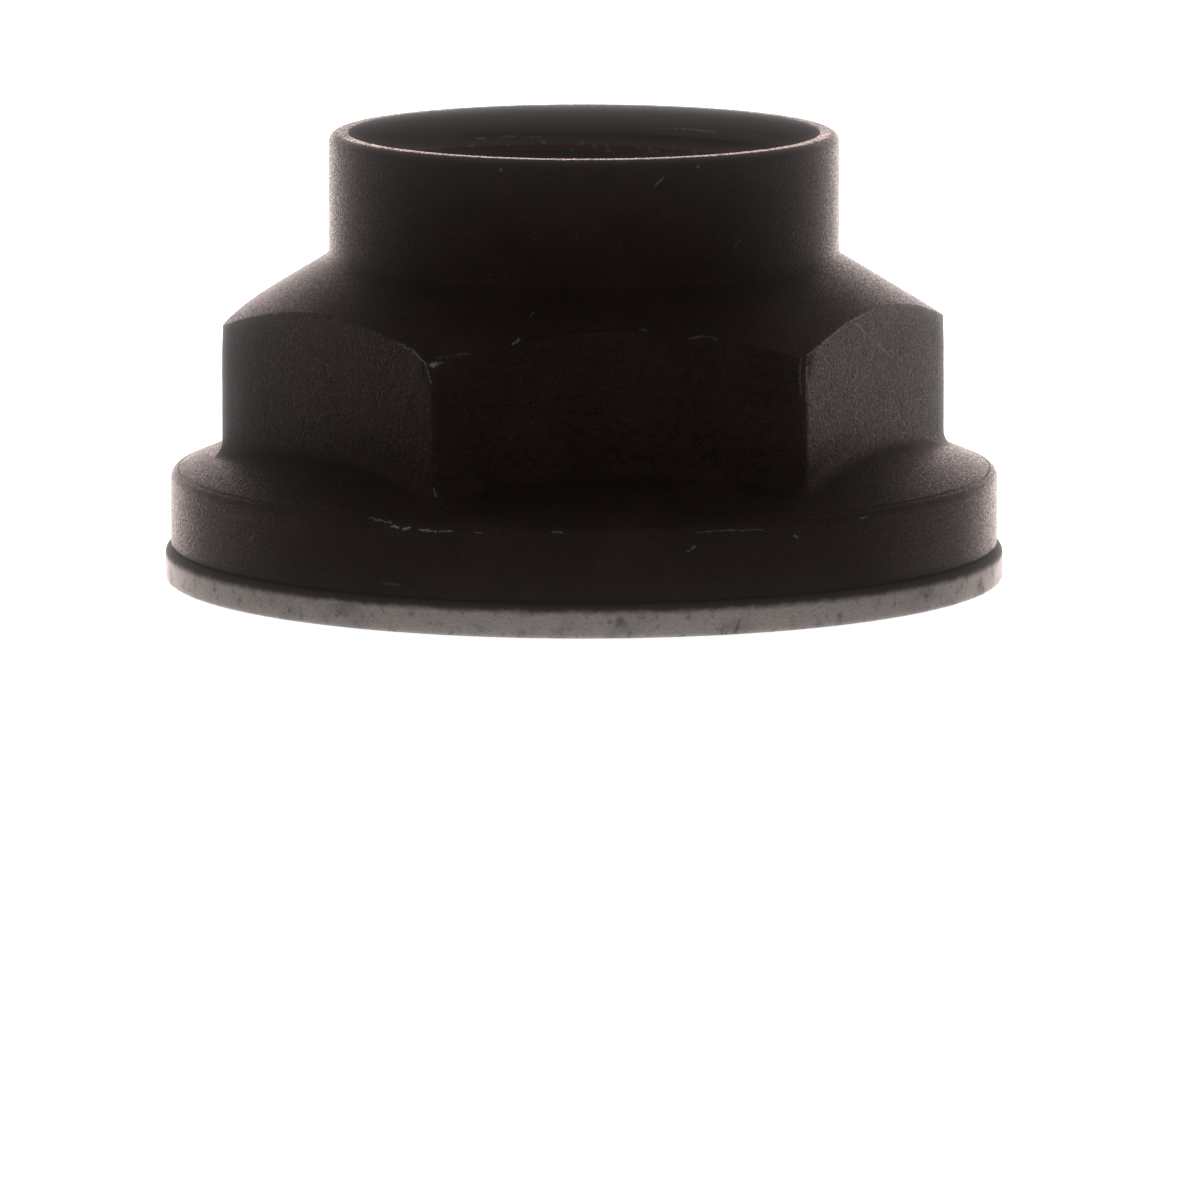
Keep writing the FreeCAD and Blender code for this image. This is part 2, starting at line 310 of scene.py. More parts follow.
# Where handling has worn the edges: from and to in degrees round the axis, and how much.
RIM_WEAR = ((-180, 180, 0.42), (-172, -8, 0.24))
ARCH_WEAR = ((-62, -30, 0.22), (-145, -120, 0.22), (-180, -150, 0.2), (18, 44, 0.3), (82, 100, 0.25))
FLANGE_WEAR = ((-128, -112, 0.25), (-20, 0, 0.3), (170, 190, 0.3), (30, 75, 0.3))
LEAST_ARCH_WEAR, LEAST_FLANGE_WEAR = 0.1, 0.05
RIM_WEAR_FADE = 2.6  # how fast the rim's wear fades along its outer round
CREST_WEAR = 0.32  # on the thread's first crest
CREST_WEAR_ENDS = (1.6, 2.6)  # where that fades, in millimetres below the collar's inside

# How far in millimetres each corner's top is hammered in, from the corner on +X round to the one before it
BATTERED = (0.03, 0.12, 0.08, 0.05, 0.26, 0.14)
BATTERED_ASIDE = (0.006, 0.05)  # where that fades beside the corner, in radians
BATTERED_BELOW = (0.15, 1.7)  # where it fades in millimetres below the arch
BATTERED_ABOVE = (-0.9, 0.0)  # and above it

# Waves in the forged flats: size in millimetres, seed and share
FORGED_WAVES = ((4.0, 3.1, 0.7), (1.1, 7.7, 0.3))
FORGED_HIGH = 0.35  # the waves' level at which a flat is true
FLANGE_FORGED = 0.3  # how forged the slope looks
# Chips along the edges: size in millimetres, seed, the level where they begin, and share
CHIPS = ((0.55, 1.3, 0.15, 1.0), (1.9, 9.2, 0.2, 0.5))
LEAST_CHIPS = 0.4  # the share of chips where an edge isn't worn
CHIPPED = ("rim_inner", "rim_inner_round", "rim_outer_round", "flat_round", "rim_round", "seat_round")


def in_millimetres(sizes):
    """The nut's lengths in millimetres."""
    lengths = {name: getattr(sizes, name) / MM for name in sizes.__annotations__ if "slope" not in name}
    return SimpleNamespace(**lengths, flange_radius=WASHER_HIGH.x / MM - lengths["overhang"])


def worn_along(turns, zones):
    """Wear at each column: the sum of the zones that it lies in, each fading over 4 degrees."""
    wear = np.zeros(len(turns))
    for first, last, amount in zones:
        middle, half = math.radians(first + last) / 2, math.radians(last - first) / 2
        off = np.abs((turns - middle + math.pi) % (2 * math.pi) - math.pi)
        wear += amount * (1 - eased(off, half - math.radians(2), half + math.radians(2)))
    return wear


def nut_outline(sizes, hexagon):
    """Rows from inside the collar round the outside to the thread's mouth, and the arches' heights."""
    mm = in_millimetres(sizes)
    top, seat, foot = NUT_HIGH.z / MM, WASHER_HIGH.z / MM, NUT_LOW.z / MM
    rim_top = seat + mm.flange_rim
    arches = mm.collar_foot - (hexagon - mm.collar_radius) * math.tan(sizes.shoulder_slope)

    def on_slope(at_radius):
        return rim_top + (mm.flange_radius - at_radius) * math.tan(sizes.flange_slope)

    # A fine line runs round the flange where its turned rim begins.
    line_out = mm.flange_radius - LINE_PLACE * mm.flange_round
    line_in = line_out - mm.line_width
    line_middle = (line_in + line_out) / 2
    spigot, lip = mm.spigot_radius, mm.lip_radius
    lip_top = foot + mm.lip_edge
    corners = [
        ("inside", mm.collar_inside, top - mm.collar_depth, 0, 0, 5),
        ("rim_inner", mm.collar_inside, top, mm.rim_break, 3, 3),
        ("rim_outer", mm.collar_radius, top, mm.collar_round, 8, 14),
        ("shoulder", mm.collar_radius, mm.collar_foot, mm.collar_root, 6, 16),
        ("flat", hexagon, arches, mm.arch_break, 4, 22),
        ("slope", hexagon, on_slope(hexagon), mm.flange_root, 8, 10),
        ("line_in", line_in, on_slope(line_in), 0, 0, 1),
        ("line", line_middle, on_slope(line_middle) - mm.line_depth, 0, 0, 1),
        ("line_out", line_out, on_slope(line_out), 0, 0, 1),
        ("rim", mm.flange_radius, rim_top, mm.flange_round, 8, 12),
        ("seat", mm.flange_radius, seat, mm.seat_break, 4, 3),
        ("spigot", spigot, seat, 0, 0, 2),
        ("neck", spigot, lip_top + lip - spigot, 0, 0, 2),
        ("lip_edge", lip, lip_top, 0, 0, 2),
        ("lip_foot", lip, foot, mm.lip_break, 2, 3),
        ("mouth", mm.thread_radius + mm.lead_in, foot, 0, 0, 1),
    ]
    return outline_rows(corners, len(hexagon)), arches


def used_surface(sizes, turns, outline, arches):
    """Places of the outline's points after forging and use, and how worn and how forged each of them is."""
    mm = in_millimetres(sizes)
    rows, names, shares = outline
    radius, height = rows[:, :, 0], rows[:, :, 1]

    # Corner tops are hammered in, most at their very top and less down the upright edge.
    corner = np.round(turns / SIXTH).astype(int)
    off_corner = np.abs(turns - corner * SIXTH)
    depth = np.array(BATTERED)[corner % 6] * (1 - eased(off_corner, *BATTERED_ASIDE))
    below = arches - height
    radius = radius - depth * (1 - eased(below, *BATTERED_BELOW)) * eased(below, *BATTERED_ABOVE)
    places = np.stack([radius * np.cos(turns), radius * np.sin(turns), height], 2)

    wear, forged = np.zeros(radius.shape), np.zeros(radius.shape)
    rim_wear, arch_wear, flange_wear = (worn_along(turns, z) for z in (RIM_WEAR, ARCH_WEAR, FLANGE_WEAR))
    outward = directions(turns)
    facing = directions((np.floor(turns / SIXTH) + 0.5) * SIXTH)
    for i, (name, share) in enumerate(zip(names, shares)):
        if name in ("rim_inner", "rim_inner_round"):
            wear[i] = rim_wear
        elif name == "rim_outer_round":
            wear[i] = rim_wear * max(0.0, 1 - RIM_WEAR_FADE * share)
        elif name == "flat_round":
            wear[i] = LEAST_ARCH_WEAR + arch_wear
        elif name in ("rim_round", "seat_round"):
            wear[i] = (LEAST_FLANGE_WEAR + flange_wear) * math.sin(math.pi * share)
        if name in ("flat", "flat_round"):
            forged[i] = 1.0
            waves = [sum(k * rough(p, size, seed) for size, seed, k in FORGED_WAVES) for p in places[i]]
            places[i] += facing * mm.ripple * (np.array(waves) - FORGED_HIGH)[:, None]
        elif name == "slope_round":
            forged[i] = 1.0 - (1 - FLANGE_FORGED) * share
        elif name == "slope":
            forged[i] = FLANGE_FORGED
        if name in CHIPPED:
            chips = [
                sum(k * max(0.0, rough(p, size, seed) - level) for size, seed, level, k in CHIPS)
                for p in places[i]
            ]
            depths = mm.chips * np.array(chips) * np.minimum(1.0, LEAST_CHIPS + wear[i])
            places[i] -= outward * depths[:, None]
    return places, wear, forged


def thread_rows(sizes, turns):
    """Turn, climb in pitches, shape and wear of the thread's points. A row climbs one pitch in a turn."""
    mm = in_millimetres(sizes)
    full_length = NUT_HIGH.z / MM - mm.collar_depth - NUT_LOW.z / MM
    pitches = math.ceil(full_length / mm.pitch) + 1
    row_count = pitches * len(THREAD_SHAPE) + 1
    row = np.repeat(np.arange(row_count), len(turns))
    turn = np.tile(turns, row_count)
    climb = row // len(THREAD_SHAPE) - 1 + turn / (2 * math.pi)
    shape = np.array(THREAD_SHAPE)[row % len(THREAD_SHAPE)]
    below_collar = full_length - mm.pitch * climb
    on_crest = 1 - shape[:, 4]
    return turn, climb, shape, CREST_WEAR * on_crest * (1 - eased(below_collar, *CREST_WEAR_ENDS))


def faces_between(start, row_count, count, climb):
    """Faces between rows round the axis, whose last column joins the first one that many rows up."""
    faces = []
    for k in range(row_count - 1):
        for j in range(count):
            here = start + k * count + j
            beside = here + 1 if j < count - 1 else start + (k + climb) * count
            if j < count - 1 or k + climb + 1 < row_count:
                faces.append((here, here + count, beside + count, beside))
    return faces


def nut_mesh(sizes):
    """The whole nut as one closed grid: rows along the outline, and helical rows for the thread."""
    turns, hexagon = hexagon_columns(sizes)
    count = len(turns)
    outline, arches = nut_outline(sizes, hexagon)
    places, wear, forged = used_surface(sizes, turns, outline, arches)
    helix_turn, climb, shape, crest_wear = thread_rows(sizes, turns)
    outside, inside = len(places) * count, len(helix_turn)

    # The thread's points wait on a small circle until their tree moves them.
    points = np.concatenate([places.reshape(-1, 3), directions(helix_turn)]) * MM
    faces = faces_between(0, len(places), count, 0)
    faces += faces_between(outside, inside // count, count, len(THREAD_SHAPE))
    mesh = bpy.data.meshes.new("nut_with_thread")
    mesh.from_pydata(points.tolist(), [], faces)
    for name, kind, values in (
        ("thread", "BOOLEAN", np.arange(len(points)) >= outside),
        ("climb", "FLOAT", np.concatenate([np.zeros(outside), climb])),
        ("turn", "FLOAT", np.concatenate([np.tile(turns, len(places)), helix_turn])),
        ("wear", "FLOAT", np.concatenate([wear.ravel(), crest_wear])),
        ("forged", "FLOAT", np.concatenate([forged.ravel(), np.zeros(inside)])),
    ):
        mesh.attributes.new(name, kind, "POINT").data.foreach_set("value", values.tolist())
    for name, columns in (("rise", shape[:, :3]), ("depth", shape[:, [3, 4, 4]])):
        values = np.concatenate([np.zeros((outside, 3)), columns]).ravel()
        mesh.attributes.new(name, "FLOAT_VECTOR", "POINT").data.foreach_set("vector", values.tolist())
    return mesh


# Geometry Nodes

MATHS = "ShaderNodeMath"
VECTOR = "ShaderNodeVectorMath"
COMBINE = "ShaderNodeCombineXYZ"
NOISE = "ShaderNodeTexNoise"  # takes a place, scale, detail and roughness
RANGE = "ShaderNodeMapRange"  # takes a value, from low, from high, to low and to high
MIX = "ShaderNodeMix"
ATTRIBUTE = "GeometryNodeInputNamedAttribute"
SMOOTH = {"interpolation_type": "SMOOTHSTEP"}
COLOURS = {"data_type": "RGBA"}

WELD = 0.002  # points of the thread closer than this, in millimetres, become one
WASHER_STEPS = (1, 2, 7, 3)  # in the rounds at the washer's lower and upper bore edge, upper and lower rim
DENTS_PER_METRE = 900.0
DENT_HIGH = 0.62  # the dents' level at which the washer's rim is true


class Tree:
    """A node tree, with one small way to add a node with its settings and links."""

    def __init__(self, owner):
        self.nodes, self.links = owner.nodes, owner.links

    def add(self, kind, settings=(), *values, **named):
        """Add a node. A word for settings is its operation. Values fill its inputs in order, or by name."""
        node = self.nodes.new(kind)
        if isinstance(settings, str):
            settings = {"operation": settings}
        for key, value in dict(settings).items():
            setattr(node, key, value)
        self.fill(node, *values, **named)
        return node

    def fill(self, node, *values, **named):
        """Fill a node's inputs: a node or an output is linked, any other value is set."""
        sockets = [s for s in node.inputs if s.enabled]
        by_name = {s.name.lower().replace(" ", "_"): s for s in reversed(sockets)}
        pairs = [*zip(sockets, values), *((by_name[key], value) for key, value in named.items())]
        for socket, value in pairs:
            if isinstance(value, bpy.types.Node):
                value = next(s for s in value.outputs if s.enabled)
            if isinstance(value, bpy.types.NodeSocket):
                self.links.new(value, socket)
            elif socket.type == "RGBA" and len(value) == 3:
                socket.default_value = (*value, 1.0)
            else:
                socket.default_value = value


def geometry_tree(name, inputs):
    """A new Geometry Nodes tree with named inputs, given as name and default."""
    group = bpy.data.node_groups.new(name, "GeometryNodeTree")
    face = group.interface
    face.new_socket("Geometry", in_out="INPUT", socket_type="NodeSocketGeometry")
    face.new_socket("Geometry", in_out="OUTPUT", socket_type="NodeSocketGeometry")
    for label, value in inputs.items():
        face.new_socket(label, in_out="INPUT", socket_type="NodeSocketFloat").default_value = value
    tree = Tree(group)
    return group, tree, tree.add("NodeGroupInput").outputs, tree.add("NodeGroupOutput")


def titled(sizes, *names):
    """These lengths as inputs of a tree, each under its title."""
    return {name.replace("_", " ").title(): getattr(sizes, name) for name in names}


def applied(mesh, group, settings, name):
    """The plain mesh that a tree makes from a mesh, with the tree's inputs set by identifier."""
    carrier = bpy.data.objects.new(name + "_carrier", mesh)
    bpy.context.scene.collection.objects.link(carrier)
    modifier = carrier.modifiers.new(group.name, "NODES")
    modifier.node_group = group
    for item in group.interface.items_tree:
        if item.in_out == "INPUT" and item.name in settings:
            modifier[item.identifier] = settings[item.name]
    carrier.update_tag()
    bpy.context.view_layer.update()
    ready = carrier.evaluated_get(bpy.context.evaluated_depsgraph_get())
    made = bpy.data.meshes.new_from_object(ready)
    carrier.modifiers.clear()
    bpy.data.objects.remove(carrier)
    made.name = name
    return made


def thread_tree(sizes, coat, bore):
    """Cuts the thread: moves the bore's rows onto a helix, between a lead-in below and a cone above."""
    lengths = titled(sizes, "pitch", "crest_radius", "crest_flat", "eased_edge", "cone_height")
    lengths["Root Radius"] = sizes.thread_radius
    lengths["Mouth Radius"] = sizes.thread_radius + sizes.lead_in
    lengths["Collar Radius"] = sizes.collar_inside
    lengths["Foot"] = NUT_LOW.z
    lengths["Top"] = NUT_HIGH.z - sizes.collar_depth
    group, tree, size, result = geometry_tree("Cut the thread", lengths)
    add = tree.add
    turn = add(ATTRIBUTE, {"data_type": "FLOAT"}, "turn")
    climb = add(ATTRIBUTE, {"data_type": "FLOAT"}, "climb")
    rise_shares = add(ATTRIBUTE, {"data_type": "FLOAT_VECTOR"}, "rise")
    depth_shares = add(ATTRIBUTE, {"data_type": "FLOAT_VECTOR"}, "depth")
    in_bore = add(ATTRIBUTE, {"data_type": "BOOLEAN"}, "thread")

    rises = add(COMBINE, (), size["Crest Flat"], size["Eased Edge"], size["Pitch"])
    rise = add(VECTOR, "DOT_PRODUCT", rise_shares, rises)
    full_depth = add(MATHS, "SUBTRACT", size["Root Radius"], size["Crest Radius"])
    depths = add(COMBINE, (), size["Eased Edge"], full_depth, 0.0)
    depth = add(VECTOR, "DOT_PRODUCT", depth_shares, depths)
    ridge = add(MATHS, "ADD", size["Crest Radius"], depth)

    climbed = add(MATHS, "MULTIPLY_ADD", size["Pitch"], climb, rise)
    free = add(MATHS, "ADD", size["Foot"], climbed)
    above_foot = add(MATHS, "MAXIMUM", free, size["Foot"])
    height = add(MATHS, "MINIMUM", above_foot, size["Top"])

    from_foot = add(MATHS, "SUBTRACT", height, size["Foot"])
    lead = add(MATHS, "SUBTRACT", size["Mouth Radius"], from_foot)
    from_top = add(MATHS, "SUBTRACT", size["Top"], height)
    down_cone = add(MATHS, "DIVIDE", from_top, size["Cone Height"])
    cone_width = add(MATHS, "SUBTRACT", size["Crest Radius"], size["Collar Radius"])
    cone = add(MATHS, "MULTIPLY_ADD", down_cone, cone_width, size["Collar Radius"])
    ridge_or_lead = add(MATHS, "MAXIMUM", ridge, lead)
    radius = add(MATHS, "MAXIMUM", ridge_or_lead, cone)

    across = add(MATHS, "MULTIPLY", radius, add(MATHS, "COSINE", turn))
    along = add(MATHS, "MULTIPLY", radius, add(MATHS, "SINE", turn))
    place = add(COMBINE, (), across, along, height)
    moved = add("GeometryNodeSetPosition", (), size["Geometry"], in_bore, place)
    merged = add("GeometryNodeMergeByDistance", geometry=moved, distance=WELD * MM)
    real = add("GeometryNodeRealizeInstances", geometry=merged)
    outside = add("GeometryNodeSetMaterial", geometry=real, material=coat)
    dressed = add("GeometryNodeSetMaterial", geometry=outside, selection=in_bore, material=bore)
    tree.fill(result, dressed)
    return group, lengths


def washer_tree(sizes, steel):
    """Sweeps the washer's section round the axis, with its rolled edge and its countersink."""
    lengths = titled(sizes, *(name for name in sizes.__annotations__ if name != "segments"))
    group, tree, size, result = geometry_tree("Turn the washer", lengths)
    add = tree.add
    # A swept section hangs upside down, so its top is at minus the thickness.
    low, high = 0.0, add(MATHS, "MULTIPLY", size["Thickness"], -1.0)
    width = add(MATHS, "SUBTRACT", size["Radius"], size["Bore"])
    half = add(MATHS, "MULTIPLY", width, 0.5)
    back = add(MATHS, "MULTIPLY", width, -0.5)
    middle = add(MATHS, "ADD", size["Bore"], half)
    section = add("GeometryNodeCurvePrimitiveQuadrilateral", {"mode": "POINTS"})
    for i, (x, y) in enumerate(((back, low), (back, high), (half, high), (half, low)), start=1):
        tree.fill(section, **{f"point_{i}": add(COMBINE, (), x, y)})
    which = add("GeometryNodeInputIndex")
    eased_section = add("GeometryNodeFilletCurve", {"mode": "POLY"}, curve=section)
    rounds = (size["Countersink"], size["Bore Break"], size["Top Round"], size["Foot Break"])
    for kind, name, by_corner in (("INT", "count", WASHER_STEPS), ("FLOAT", "radius", rounds)):
        choice = add("GeometryNodeIndexSwitch", {"data_type": kind})
        while len(choice.index_switch_items) < len(by_corner):
            choice.index_switch_items.new()
        tree.fill(choice, which, *by_corner)
        tree.fill(eased_section, **{name: choice})
    path = add(
        "GeometryNodeCurvePrimitiveCircle", {"mode": "RADIUS"}, resolution=sizes.segments, radius=middle
    )
    swept = add("GeometryNodeCurveToMesh", curve=path, profile_curve=eased_section)

    # The stamped rim wanders a little and carries shallow dents.
    place = add("GeometryNodeInputPosition")
    grain = add(NOISE, (), place, DENTS_PER_METRE, 2.0)
    aside = add(VECTOR, "MULTIPLY", place, (1, 1, 0))
    reach = add(VECTOR, "LENGTH", aside)
    rim_start = add(MATHS, "SUBTRACT", size["Radius"], size["Edge Band"])
    rim_share = add(RANGE, SMOOTH, reach, rim_start, size["Radius"])
    lump = add(MATHS, "SUBTRACT", grain, DENT_HIGH)
    wander = add(MATHS, "MULTIPLY", lump, size["Edge Wander"])
    push = add(MATHS, "MULTIPLY", wander, rim_share)
    offset = add(VECTOR, "SCALE", add(VECTOR, "NORMALIZE", aside), scale=push)
    worn = add("GeometryNodeSetPosition", geometry=swept, offset=offset)
    real = add("GeometryNodeRealizeInstances", geometry=worn)
    dressed = add("GeometryNodeSetMaterial", geometry=real, material=steel)
    tree.fill(result, dressed)
    return group, lengths


# Materials


def new_material(name, **settings):
    """A material, its tree, its shader with these settings and the piece's own coordinates."""
    material = bpy.data.materials.new(name)
    material.use_nodes = True
    tree = Tree(material.node_tree)
    shader = tree.nodes["Principled BSDF"]
    tree.fill(shader, **settings)
    return material, tree, shader, tree.add("ShaderNodeTexCoord").outputs["Object"]


def from_axis(tree, place):
    """How far a place lies from the nut's axis."""
    return tree.add(VECTOR, "LENGTH", tree.add(VECTOR, "MULTIPLY", place, (1, 1, 0)))


def turning_lines(tree, place, spacing_mm):
    """Fine lines left by the lathe: noise that changes fast along the outline and slowly round the axis."""
    height = tree.add("ShaderNodeSeparateXYZ", (), place).outputs["Z"]
    along = tree.add(MATHS, "ADD", from_axis(tree, place), height)
    fast = tree.add(MATHS, "MULTIPLY", along, 1 / (spacing_mm * MM))
    slow = tree.add(VECTOR, "SCALE", place, scale=60.0)
    return tree.add(NOISE, {"noise_dimensions": "4D"}, slow, fast, 1.0, 2.0, 0.6)


# Small marks that use has left on the nut. Each runs from a turn and height to a turn and height, in degrees
# round the axis and millimetres, and has a half width in millimetres and a strength.
MARKS = (
    # On the collar
    (-148.3, 24.18, -147.9, 23.85, 0.07, 0.5),
    (-115.2, 24.93, -115.0, 24.85, 0.09, 0.9),
    (-80.6, 23.98, -78.5, 24.47, 0.06, 0.6),
    (-70.7, 24.91, -70.2, 24.96, 0.07, 0.6),
    (-61.1, 20.35, -59.2, 20.66, 0.05, 0.3),
    # On the shoulder
    (-108.2, 15.77, -107.6, 15.93, 0.1, 0.8),
    (-106.5, 16.98, -106.4, 17.17, 0.07, 0.4),
    (-77.8, 15.85, -75.6, 16.02, 0.05, 0.35),
    (-75.6, 16.02, -73.3, 15.87, 0.05, 0.35),
    (-86.4, 16.38, -85.2, 16.37, 0.06, 0.3),
    # The nick and the bruised arch at the left corner
    (-120.9, 14.52, -120.1, 14.62, 0.16, 1.0),
    (-120.1, 14.62, -119.0, 14.72, 0.07, 0.8),
    (-120.4, 14.91, -114.8, 15.24, 0.05, 0.25),
    (-128.9, 15.45, -124.6, 15.14, 0.07, 0.5),
    (-124.6, 15.14, -122.0, 14.57, 0.07, 0.6),
    (-122.0, 14.57, -120.9, 13.56, 0.06, 0.5),
    (-120.1, 7.68, -119.5, 7.32, 0.07, 0.5),
    # The burr and the bruised arch at the right corner
    (-59.4, 14.09, -59.6, 13.21, 0.08, 0.9),
    (-59.7, 13.21, -59.6, 12.20, 0.06, 0.6),
    (-60.5, 14.68, -60.7, 13.79, 0.06, 0.3),
    (-60.7, 13.79, -60.7, 12.57, 0.06, 0.25),
    (-59.0, 14.75, -53.4, 15.27, 0.08, 0.7),
    (-53.4, 15.27, -43.3, 15.95, 0.07, 0.6),
    (-43.3, 15.95, -30.4, 16.25, 0.06, 0.5),
    # On the flats
    (-161.0, 14.49, -160.4, 14.34, 0.05, 0.4),
    (-154.2, 13.19, -153.6, 13.15, 0.05, 0.4),
    (-46.2, 13.89, -45.3, 13.74, 0.06, 0.5),
    (-40.2, 15.80, -32.3, 14.59, 0.06, 0.5),
    (-32.3, 14.59, -22.7, 13.15, 0.06, 0.5),
    # Along the flange's upper edge
    (-127.1, 6.20, -123.3, 6.05, 0.05, 0.6),
    (-123.3, 5.89, -122.4, 5.86, 0.09, 1.0),
    (-121.6, 5.74, -120.4, 5.91, 0.09, 1.0),
    (-119.1, 5.78, -116.7, 5.77, 0.07, 0.9),
    (-116.2, 5.76, -114.3, 5.82, 0.06, 0.8),
    (-111.1, 5.76, -110.3, 5.72, 0.07, 0.4),
    (-100.7, 5.92, -99.5, 5.87, 0.07, 0.5),
    (-81.1, 5.78, -76.4, 5.83, 0.05, 0.35),
    (-76.4, 5.83, -71.6, 5.72, 0.05, 0.35),
    (-55.8, 5.85, -54.3, 5.87, 0.07, 0.5),
    # On the flange's rim
    (-148.9, 4.07, -148.2, 4.33, 0.06, 0.5),
    (-124.6, 2.67, -122.4, 2.62, 0.06, 0.35),
    (-82.4, 4.77, -81.3, 5.00, 0.06, 0.6),
    (-66.8, 5.31, -66.4, 5.13, 0.09, 0.7),
)
# The same in the bore: flecks on the first crest and a worn stretch of the edge above it.
BORE_MARKS = (
    (112.9, 23.78, 110.0, 23.75, 0.07, 0.5),
    (105.7, 23.79, 101.3, 23.75, 0.05, 0.35),
    (97.7, 23.70, 94.8, 23.69, 0.05, 0.35),
    (94.9, 23.44, 94.0, 23.44, 0.06, 0.4),
    (62.6, 24.24, 56.4, 24.22, 0.06, 0.6),
    (56.4, 24.22, 49.2, 24.15, 0.06, 0.5),
)
ROLL = 18.0  # the radius in millimetres at which the surface is rolled out flat for its marks
RAGGED_SIZE = 0.22  # size in millimetres of the waves along a mark's edge
RAGGED_REACH = 0.4  # and how far they reach


def mark_mask(tree, place, marks):
    """Where the marks are on the surface rolled out flat, as the greatest share of any of them."""
    add = tree.add
    x, y, z = add("ShaderNodeSeparateXYZ", (), place).outputs
    rolled = add(MATHS, "MULTIPLY", add(MATHS, "ARCTAN2", y, x), ROLL * MM)
    jitter = add(NOISE, (), place, 1 / (RAGGED_SIZE * MM), 3.0, 0.7)
    shift = add(VECTOR, "SUBTRACT", jitter.outputs["Color"], (0.5, 0.5, 0.5))
    flat = add(COMBINE, (), rolled, z, 0.0)
    ragged = add(VECTOR, "MULTIPLY_ADD", shift, (RAGGED_REACH * MM, RAGGED_REACH * MM, 0.0), flat)
    total = 0.0
    for from_turn, from_height, to_turn, to_height, half_width, strength in marks:
        start = Vector((math.radians(from_turn) * ROLL, from_height, 0)) * MM
        run = Vector((math.radians(to_turn) * ROLL, to_height, 0)) * MM - start
        here = add(VECTOR, "SUBTRACT", ragged, start)
        along = add(VECTOR, "DOT_PRODUCT", here, run / run.length_squared)
        share = add(MATHS, {"operation": "MULTIPLY", "use_clamp": True}, along, 1.0)
        nearest = add(VECTOR, "SCALE", run, scale=share)
        distance = add(VECTOR, "DISTANCE", here, nearest)
        level = add(RANGE, SMOOTH, distance, half_width * MM, 0.2 * half_width * MM, 0.0, strength)
        total = add(MATHS, "MAXIMUM", total, level)
    return total


def phosphated_steel(finishes):
    """Black manganese phosphate, oiled, on a forged nut whose cones and rims were turned first.

    The coating is matt and nearly black with a warm cast. Forged flats are grainy, turned faces carry faint
    lathe lines, and edges that were handled have worn through to bare steel."""
    material, tree, shader, place = new_material(
        "oiled_phosphate_on_forged_steel", specular_ior_level=0.35, specular_tint=finishes.phosphate_sheen
    )
    add = tree.add
    forged = add("ShaderNodeAttribute", {"attribute_name": "forged"}).outputs["Fac"]
    edge = add("ShaderNodeAttribute", {"attribute_name": "wear"}).outputs["Fac"]
    # The coating's crystals are 0.01 mm, drawn as coarse as they show.
    fine = add(NOISE, (), place, 1 / (0.13 * MM), 3.0, 0.65)
    lumps = add(NOISE, (), place, 1 / (0.5 * MM), 4.0, 0.65)
    patches = add(NOISE, (), place, 1 / (3.5 * MM), 3.0, 0.55)
    lathe = turning_lines(tree, place, 0.14)

    # Wear breaks up along its border, and tiny specks are scattered where the coating is thin.
    ragged = add(MATHS, "MULTIPLY_ADD", lumps, 1.5, edge)
    through = add(RANGE, SMOOTH, ragged, 1.15, 1.35)
    depth = add(RANGE, SMOOTH, edge, 0.2, 0.6, 0.25, 1.0)
    worn = add(MATHS, "MULTIPLY", through, depth)
    dots = add(NOISE, (), place, 1 / (0.15 * MM), 2.0, 0.5)
    speck = add(RANGE, SMOOTH, dots, 0.64, 0.8, 0.0, 0.28)
    sparse = add(RANGE, SMOOTH, patches, 0.35, 0.62, 0.3, 1.0)
    specks = add(MATHS, "MULTIPLY", speck, sparse)
    marked = add(MATHS, "MAXIMUM", specks, mark_mask(tree, place, MARKS))
    bare = add(MATHS, "MAXIMUM", worn, marked)

    cloudy = add(RANGE, SMOOTH, patches, 0.42, 0.66, 0.0, 0.18)
    dusty = add(RANGE, SMOOTH, fine, 0.55, 0.75)
    dust_share = add(MATHS, "MULTIPLY_ADD", forged, 0.55, 0.25)
    dulled = add(MATHS, {"operation": "MULTIPLY_ADD", "use_clamp": True}, dusty, dust_share, cloudy)
    # Inside the collar the coating has turned brown.
    height = add("ShaderNodeSeparateXYZ", (), place).outputs["Z"]
    inside = add(RANGE, SMOOTH, from_axis(tree, place), 13.6 * MM, 13.45 * MM)
    near_top = add(RANGE, SMOOTH, height, NUT_HIGH.z - 5 * MM, NUT_HIGH.z - 3 * MM)
    brown = add(MATHS, "MULTIPLY", inside, near_top)
    outer = add(MIX, COLOURS, dulled, finishes.phosphate, finishes.phosphate_thin)
    coat = add(MIX, COLOURS, brown, outer, finishes.inner_brown)
    colours = add(MIX, COLOURS, bare, coat, finishes.bare_steel)
    metal = add(MATHS, "MULTIPLY", bare, 0.9)
    matt = add(RANGE, SMOOTH, fine, 0.4, 0.62, 0.48, 0.23)
    roughness = add(MATHS, "MULTIPLY_ADD", bare, -0.1, matt)

    pits = add(RANGE, SMOOTH, lumps, 0.3, 0.5)
    forged_relief = add(MATHS, "MULTIPLY_ADD", pits, 0.6, fine)
    turned_relief = add(MATHS, "MULTIPLY_ADD", lathe, 0.35, fine)
    relief = add(MIX, (), forged, turned_relief, forged_relief)
    bump = add("ShaderNodeBump", (), strength=1.0, distance=0.15 * MM, height=relief)
    tree.fill(shader, base_color=colours, metallic=metal, roughness=roughness, normal=bump)
    return material


